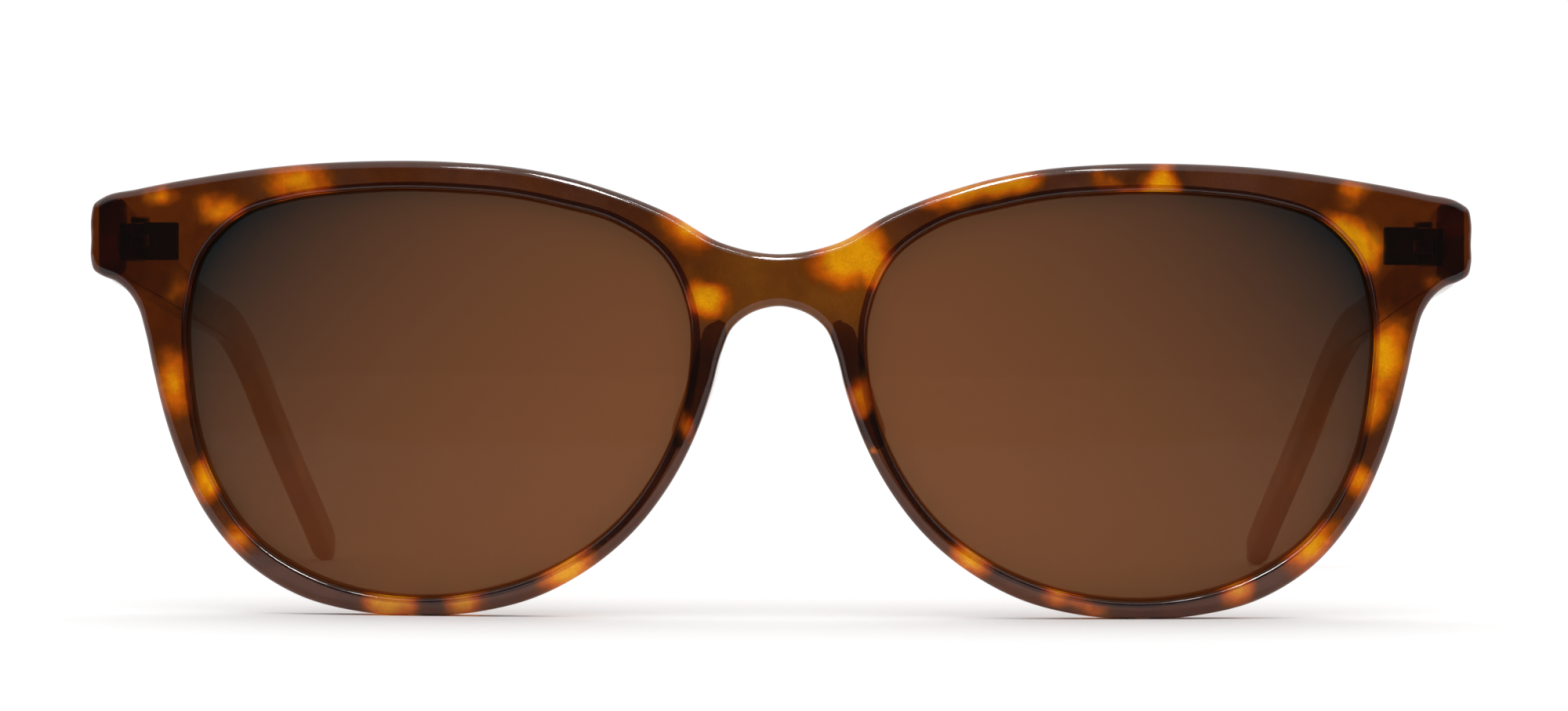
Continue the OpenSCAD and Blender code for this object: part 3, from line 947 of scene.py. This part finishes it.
def tortoise(name, patches=None, thin=1.0):
    """Polished tortoise acetate: amber in dark brown, seen through. A thin below 1 makes it paler."""
    look = Look(name)
    at = look.where()
    warp = look.add("ShaderNodeTexNoise", {"Vector": at, "Scale": 0.28, "Detail": 2.0})
    offset = look.vector("SUBTRACT", warp.outputs["Color"], (0.5, 0.5, 0.5))
    bent = look.vector("MULTIPLY_ADD", offset, (2.2, 2.2, 2.2), at)
    spot = spots_in(look, look.vector("MULTIPLY", bent, (1, 0, 1)))
    amber = amber_share(look, at, bent, spot, patches)
    ground = ground_colour(look, at, spot, patches)

    haze = look.noise(at, 1.6, 4.0, 0.6)
    roughness = look.spread(haze, 0.25, 0.75, 0.04, 0.1)
    solid = look.add("ShaderNodeBsdfPrincipled", {
        "Base Color": look.mix(amber, (0.04, 0.022, 0.015, 1), (0.7, 0.27, 0.005, 1)),
        "Roughness": roughness, "IOR": 1.49, "Specular IOR Level": 0.0,
    })
    clear = look.add("ShaderNodeBsdfTransparent", {
        "Color": let_through(look, at, amber, ground, thin),
    })
    inner = look.blend(look.spread(amber, 0.0, 1.0, 0.92, 0.78), solid, clear)

    # polish: faint waves, finer haze and a few hairlines
    hairline = look.noise(look.where((140.0, 900.0, 2600.0)), 1.0, 2.0, 0.8)
    height = look.math("MULTIPLY_ADD", hairline, 0.08, look.noise(at, 0.35, 2.0, 0.4))
    polish = look.bump(height, 0.06, 0.00012)
    gloss = look.add("ShaderNodeBsdfPrincipled", {
        "Base Color": look.mix(haze, (0.94, 0.95, 0.96, 1), (1, 1, 1, 1)), "Metallic": 1.0,
        "Roughness": roughness, "Normal": polish,
    })
    mirrored = look.add("ShaderNodeFresnel", {"IOR": 1.45, "Normal": polish}).outputs[0]
    return look.finish(look.blend(look.outside(mirrored), inner, gloss))


# The tint's dark corner, x and z in millimetres, the way it fades and the distance of the fading
TINT_CORNER, TINT_WAY, TINT_REACH = (57.0, 40.0), (0.757, 0.653), 24.0


def lens_tint(side):
    """Graded tint of a lens, near black at the upper outer corner."""
    look = Look("lens_tint_left" if side > 0 else "lens_tint_right")
    at = look.where()
    apart = look.add("ShaderNodeSeparateXYZ", {"Vector": at})
    outwards = look.math("MULTIPLY", apart.outputs["X"], float(side))
    inwards = look.math("MULTIPLY", look.math("SUBTRACT", TINT_CORNER[0], outwards), TINT_WAY[0])
    below = look.math("SUBTRACT", TINT_CORNER[1], apart.outputs["Z"])
    reach = look.math("MULTIPLY_ADD", below, TINT_WAY[1], inwards)
    mottle = look.noise(at, 0.6, 3.0)
    reach = look.math("ADD", reach, look.spread(mottle, 0.3, 0.7, -0.2, 0.2))
    fade = look.math("EXPONENT", look.math("DIVIDE", reach, -TINT_REACH))
    # a white ground as seen through it: part of the colour is the tint's own, the rest gets through
    dark, warm = (0.0134, 0.0165, 0.0166), (0.243, 0.085, 0.0315)
    own_part, passed_part = (0.7, 0.5, 0.36), (0.3, 0.5, 0.64)
    solid_share, uneven = 0.86, 0.005

    def graded(part, whole):
        ends = [[*(c * p / whole for c, p in zip(end, part)), 1.0] for end in (warm, dark)]
        return look.mix(fade, *ends)

    smear = look.noise(at, 0.25, 3.0)
    solid = look.add("ShaderNodeBsdfPrincipled", {
        "Base Color": graded(own_part, solid_share), "IOR": 1.5, "Specular IOR Level": 0.05,
        "Roughness": look.spread(smear, 0.3, 0.7, 0.03, 0.07),
        "Normal": look.bump(look.noise(at, 0.12, 1.0), 0.05, 0.0001),
    })
    clear = look.add("ShaderNodeBsdfTransparent", {"Color": graded(passed_part, 1 - solid_share)})
    share = look.spread(mottle, 0.0, 1.0, solid_share - uneven, solid_share + uneven)
    return look.finish(look.blend(share, clear, solid))


def lens_clear():
    """Clear rear surface and edge of a lens: only its gloss shows."""
    look = Look("lens_clear")
    smear = look.noise(look.where(), 0.25, 3.0)
    gloss = look.add("ShaderNodeBsdfPrincipled", {
        "Base Color": look.mix(smear, (0.9, 0.92, 0.95, 1), (0.97, 0.98, 1, 1)), "Metallic": 1.0,
        "Roughness": look.spread(smear, 0.3, 0.7, 0.03, 0.07),
    })
    clear = look.add("ShaderNodeBsdfTransparent", {
        "Color": look.mix(smear, (0.97, 0.96, 0.95, 1), (1, 0.99, 0.98, 1)),
    })
    mirrored = look.add("ShaderNodeFresnel", {"IOR": 1.06}).outputs[0]
    return look.finish(look.blend(look.outside(mirrored), clear, gloss))


def groove_wall():
    """Groove under the tight lens edge, as if wetted: it takes next to nothing from the colour."""
    look = Look("groove_wall")
    film = look.noise(look.where(), 0.8, 3.0)
    gloss = look.add("ShaderNodeBsdfPrincipled", {
        "Base Color": look.mix(film, (0.3, 0.15, 0.08, 1), (0.4, 0.2, 0.1, 1)),
        "Roughness": look.spread(film, 0.3, 0.7, 0.1, 0.2), "Specular IOR Level": 0.1,
    })
    clear = look.add("ShaderNodeBsdfTransparent", {
        "Color": look.mix(film, (0.96, 0.95, 0.94, 1), (1, 1, 1, 1)),
    })
    return look.finish(look.blend(look.spread(film, 0.2, 0.8, 0.01, 0.03), clear, gloss))


def metal(name, pale, dark, low, high, brush):
    """Satin or polished metal, brushed along one way and stained, with roughness low to high."""
    look = Look(name)
    lines = look.noise(look.where(brush), 1.0, 3.0, 0.7)
    stain = look.noise(look.where(), 0.7, 3.0, 0.6)
    return look.finish(look.add("ShaderNodeBsdfPrincipled", {
        "Base Color": look.mix(look.spread(stain, 0.3, 0.7), pale, dark), "Metallic": 1.0,
        "Roughness": look.spread(lines, 0.25, 0.75, low, high),
        "Normal": look.bump(lines, 0.25, 0.00004),
    }))


# ---- pieces ----

front_acetate = tortoise("tortoise_front", AMBER)
pad_acetate = tortoise("tortoise_pad", AMBER, 0.4)
temple_acetate = [tortoise("temple_outer", thin=0.85), tortoise("temple_inner", thin=0.5)]
clear_lens = lens_clear()
leaf_brush, pin_brush, wire_brush = (900, 300, 2400), (600, 600, 1500), (2400, 150, 2400)
nickel = metal("nickel_silver", rgb(188, 182, 172), rgb(150, 143, 132), 0.24, 0.42, leaf_brush)
# the darker nickel is painted shade: a dark copy of the metal for the hinge parts sunk in the acetate,
# where little light reaches
shaded_nickel = metal("nickel_painted_shade", rgb(46, 40, 36), rgb(30, 26, 24), 0.5, 0.7, leaf_brush)
steel = metal("polished_steel", rgb(205, 203, 199), rgb(172, 170, 167), 0.12, 0.26, pin_brush)
wire_metal = metal("wire_nickel", rgb(214, 205, 190), rgb(178, 167, 150), 0.3, 0.5, wire_brush)

place("front", front_shell(), "front", "front_frame",
      [front_acetate, groove_wall()], sharp=30)
for side, mirror in (("left", False), ("right", True)):
    arm = f"temple_{side}_arm"
    tint = lens_tint(-1 if mirror else 1)
    for name, shell, body, slot, node, materials in (
        ("lens", lens_shell(), "front", "tinted_lens", "lens", [tint, clear_lens]),
        ("pad", pad_shell(), "front", "tortoise_acetate", "nose_pad", [pad_acetate]),
        ("front_leaf", front_hinge_shell(), "front", "hinge_metal", "front_hinge", [nickel, shaded_nickel]),
        ("screw", screw_shell(), "front", "screw_metal", "hinge_screw", [steel]),
        ("temple_arm", temple_shell(), arm, "tortoise_acetate", "temple", temple_acetate),
        ("temple_plate", temple_hinge_shell(), arm, "hinge_metal", "temple_hinge", [nickel, shaded_nickel]),
        ("wire", wire_shell(), arm, "core_metal", "core_wire", [wire_metal]),
    ):
        place(f"{name}_{side}_look", shell, body, f"{node}_{side}", materials, mirror)


# ---- stage, light and camera ----

TABLE_REACH, TABLE_FRONT = 6.0, -0.21      # metres: its far and side edges, and its front edge
LIGHT_Y, LIGHT_Z, LIGHT_TALL = -0.635, 0.76, 0.42     # metres from the foot of the bridge
SIDE_LIGHT_X = 0.215
# Brightness of the room behind the camera and overhead, and as the camera itself sees it
DIM, OVERHEAD, BACKDROP = 0.06, 1.38, 1.05
CAMERA_REACH = 0.51                  # metres from the front
AIM_X, AIM_Z = 0.55, 26.7            # point that the camera stays level with, in millimetres
YAW, ROLL = math.radians(0.6), math.radians(0.24)
SENSOR, FOCAL_LENGTH = 36, 115.56


def floor():
    """Plain pale table top. It ends in front of the glasses, so that the rims don't mirror it."""
    look = Look("pale_table")
    tone = look.noise(look.where((1.0, 1.0, 1.0)), 3.0)
    surface = look.add("ShaderNodeBsdfPrincipled", {
        "Base Color": look.mix(tone, (0.93, 0.93, 0.93, 1), (0.95, 0.95, 0.95, 1)),
        "Roughness": look.spread(tone, 0.2, 0.8, 0.75, 0.85), "Specular IOR Level": 0.1,
    })
    corners = [(-TABLE_REACH, TABLE_FRONT, 0), (TABLE_REACH, TABLE_FRONT, 0),
               (TABLE_REACH, TABLE_REACH, 0), (-TABLE_REACH, TABLE_REACH, 0)]
    mesh = bpy.data.meshes.new("table_top")
    mesh.from_pydata(corners, [], [(0, 1, 2, 3)])
    mesh.materials.append(look.finish(surface))
    top = bpy.data.objects.new("table_top", mesh)
    bpy.context.scene.collection.objects.link(top)


def soft_light(x, wide, watts):
    """Soft light before the glasses that only their gloss mirrors, as highlights on the edges."""
    data = bpy.data.lights.new("soft_light", "AREA")
    data.shape = "RECTANGLE"
    data.size, data.size_y, data.energy = wide, LIGHT_TALL, watts
    light = bpy.data.objects.new("soft_light", data)
    foot = Vector((0, FRONT_Y * MM, 0))
    light.location = foot + Vector((x, LIGHT_Y, LIGHT_Z))
    light.rotation_euler = (foot - light.location).to_track_quat("-Z", "Y").to_euler()
    light.visible_diffuse = light.visible_camera = False
    bpy.context.scene.collection.objects.link(light)


def studio():
    """White room that is dim behind the camera, so that the glossy front stays deep in colour."""
    world = bpy.data.worlds.new("studio")
    bpy.context.scene.world = world
    world.use_nodes = True
    tree = world.node_tree
    tree.nodes.clear()

    def add(kind, inputs=(), **settings):
        return add_node(tree, kind, inputs, **settings)

    def eased_range(value, low, high, to_low, to_high):
        return add("ShaderNodeMapRange", {
            "Value": value, "From Min": low, "From Max": high, "To Min": to_low, "To Max": to_high,
        }, interpolation_type="SMOOTHSTEP").outputs["Result"]

    way = add("ShaderNodeSeparateXYZ", {"Vector": add("ShaderNodeTexCoord").outputs["Generated"]})
    towards_back = eased_range(way.outputs["Y"], 0.8, -0.1, 1.0, DIM)
    overhead = eased_range(way.outputs["Z"], 0.2, 0.6, 0.0, OVERHEAD)
    level = add("ShaderNodeMath", {0: towards_back, 1: overhead}, operation="MAXIMUM").outputs[0]
    room = add("ShaderNodeBackground", {"Color": (1, 1, 1, 1), "Strength": level})
    backdrop = add("ShaderNodeBackground", {"Color": (1, 1, 1, 1), "Strength": BACKDROP})
    seen = add("ShaderNodeLightPath").outputs["Is Camera Ray"]
    both = add("ShaderNodeMixShader", {0: seen, 1: room.outputs[0], 2: backdrop.outputs[0]})
    add("ShaderNodeOutputWorld", {"Surface": both.outputs[0]})


def camera():
    """Level view from the front, from where the temples look as small as they should."""
    pivot = Vector((AIM_X * MM, FRONT_Y * MM, AIM_Z * MM))
    data = bpy.data.cameras.new("camera")
    data.sensor_width = SENSOR
    data.lens = FOCAL_LENGTH
    data.clip_start, data.clip_end = 0.02, 30
    cam = bpy.data.objects.new("camera", data)
    cam.location = pivot + Vector((math.sin(YAW), -math.cos(YAW), 0)) * CAMERA_REACH
    level = Matrix.Rotation(YAW, 4, "Z") @ Matrix.Rotation(math.radians(90), 4, "X")
    cam.rotation_euler = (level @ Matrix.Rotation(ROLL, 4, "Z")).to_euler()
    bpy.context.scene.collection.objects.link(cam)
    bpy.context.scene.camera = cam


floor()
studio()
soft_light(x=0, wide=0.14, watts=11)
for side in (-1, 1):
    soft_light(x=side * SIDE_LIGHT_X, wide=0.05, watts=1.4)
camera()
bpy.context.scene.view_settings.view_transform = "Standard"
